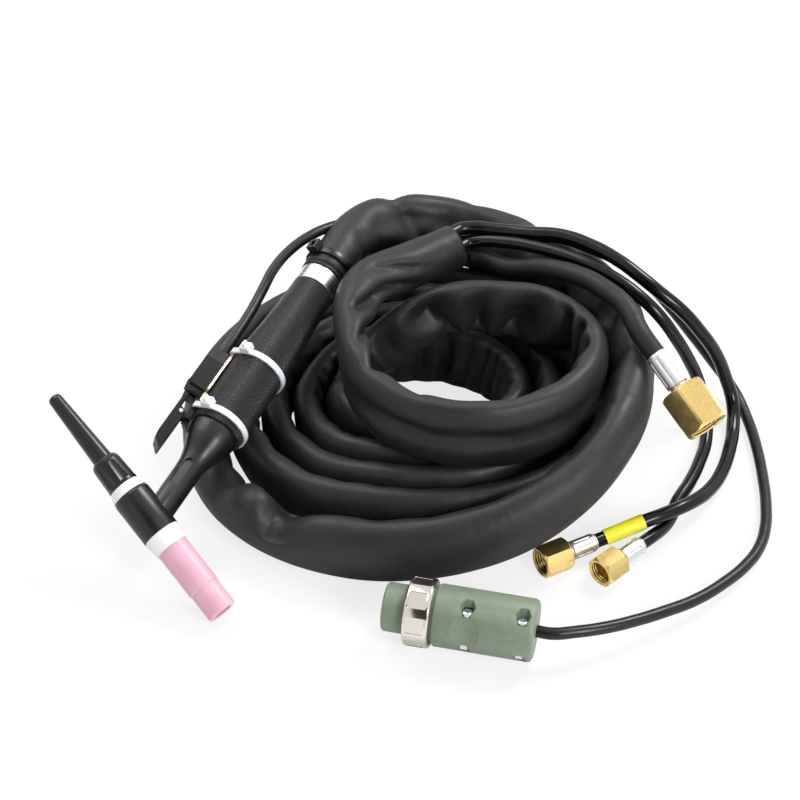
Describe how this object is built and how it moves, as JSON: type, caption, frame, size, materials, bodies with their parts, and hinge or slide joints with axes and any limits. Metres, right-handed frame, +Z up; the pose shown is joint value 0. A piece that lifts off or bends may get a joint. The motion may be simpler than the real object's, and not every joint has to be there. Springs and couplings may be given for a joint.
{
  "type": "tig torch",
  "caption": "Water-cooled TIG welding torch: ceramic nozzle, long back cap, lever switch, coiled cover sleeve, hoses and control plug",
  "frame": {"origin": "middle of the torch's own box (head, handle and switch, without its leads) on the floor", "axes": "+Z up, +Y along the longest reach of the torch, from the nozzle toward the handle's rear, +X toward the plug and unions"},
  "size_m": [0.4051, 0.3223, 0.1015],
  "materials": {
    "pink_alumina": "matt fired alumina",
    "white_ptfe": "smooth waxy",
    "black_phenolic": "satin moulded",
    "gloss_black": "glossy moulded",
    "grip_black": "fine knurl",
    "brass": "machined",
    "copper": "drawn copper, plain",
    "aluminium": "satin turned",
    "black_rubber": "smooth",
    "red_rubber": "smooth",
    "steel": "bright",
    "clear_nylon": "translucent white",
    "sleeve_fabric": "matt neoprene",
    "hose_black": "glossy hose jacket",
    "marker_yellow": "heat shrunk",
    "plug_green": "satin moulded",
    "nickel": "nickel plated",
    "zinc": "zinc plated"
  },
  "bodies": {
    "torch": {"front_gasket": "white_ptfe", "head_shell": "black_phenolic", "head_core": "brass", "power_tube": "copper", "water_tube": "copper", "gas_tube": "copper", "collet_body": "copper", "collet": "copper", "rear_gasket": "white_ptfe", "grip": "grip_black", "collar": "aluminium", "collar_ring": "black_rubber", "inner_power_hose": "black_rubber", "inner_water_hose": "black_rubber", "inner_gas_hose": "black_rubber", "switch_base_plate": "brass", "switch_bracket": "black_phenolic", "switch_housing": "black_phenolic", "micro_switch": "gloss_black", "lever_pin": "steel", "front_tie": "clear_nylon", "rear_tie": "clear_nylon", "sleeve_tie": "gloss_black", "cover_sleeve": "sleeve_fabric", "switch_cable": "hose_black", "hose_a": "hose_black", "hose_b": "hose_black", "power_cable": "black_rubber", "control_lead": "hose_black", "marker_band": "marker_yellow", "ferrule_a": "aluminium", "ferrule_b": "aluminium", "power_ferrule": "aluminium", "nipple_a": "brass", "nipple_b": "brass", "power_nipple": "brass", "plug_nose": "plug_green", "plug_insert": "black_phenolic", "plug_pins": "brass", "plug_lower_shell": "plug_green", "plug_upper_shell": "plug_green", "plug_screws": "zinc", "plug_nuts": "zinc", "plug_cord_clamp": "steel"},
    "nozzle": {"nozzle": "pink_alumina"},
    "cap_screw": {"cap_insert": "brass", "cap_o_ring": "red_rubber"},
    "cap": {"back_cap": "gloss_black"},
    "lever": {"switch_lever": "gloss_black"},
    "plunger": {"switch_plunger": "steel"},
    "coupling": {"coupling_ring": "nickel"},
    "union_a": {"nut_a": "brass"},
    "union_b": {"nut_b": "brass"},
    "union_power": {"power_nut": "brass"}
  },
  "joints": [
    {"name": "nozzle_off", "type": "slide", "parent": "torch", "child": "nozzle", "axis": [0.6294, -0.6181, -0.471], "range_m": [0, 0.015]},
    {"name": "cap_thread", "type": "slide", "parent": "torch", "child": "cap_screw", "axis": [-0.6294, 0.6181, 0.471], "range_m": [0, 0.008]},
    {"name": "cap_turn", "type": "hinge", "parent": "cap_screw", "child": "cap", "pos_m": [-0.04328, -0.05166, 0.05054], "axis": [-0.6294, 0.6181, 0.471], "range_deg": [0, 2880]},
    {"name": "lever_press", "type": "hinge", "parent": "torch", "child": "lever", "pos_m": [-0.01378, -0.00705, 0.0585], "axis": [0.3063, -0.3597, 0.8814], "range_deg": [0, 7], "stiffness_Nm_per_rad": 0.4, "springref_deg": -2.86},
    {"name": "plunger_push", "type": "slide", "parent": "torch", "child": "plunger", "axis": [0.4558, 0.8682, 0.1959], "range_m": [0, 0.0004]},
    {"name": "coupling_turn", "type": "hinge", "parent": "torch", "child": "coupling", "pos_m": [0.11993, -0.11898, 0.0186], "axis": [0.9755, -0.2198, 0], "continuous": true},
    {"name": "union_a_turn", "type": "hinge", "parent": "torch", "child": "union_a", "pos_m": [0.19306, -0.07004, 0.0086], "axis": [0.8829, 0.4695, 0], "continuous": true},
    {"name": "union_b_turn", "type": "hinge", "parent": "torch", "child": "union_b", "pos_m": [0.22374, -0.07605, 0.0084], "axis": [0.7431, 0.6691, 0], "continuous": true},
    {"name": "union_power_turn", "type": "hinge", "parent": "torch", "child": "union_power", "pos_m": [0.27239, -0.01236, 0.06635], "axis": [-0.5423, 0.7119, 0.4462], "continuous": true}
  ],
  "couplings": [
    {"joint": "cap_turn", "follows": "cap_thread", "rad_per_m": 6283.2},
    {"joint": "plunger_push", "follows": "lever_press", "m_per_rad": 0.0025}
  ]
}
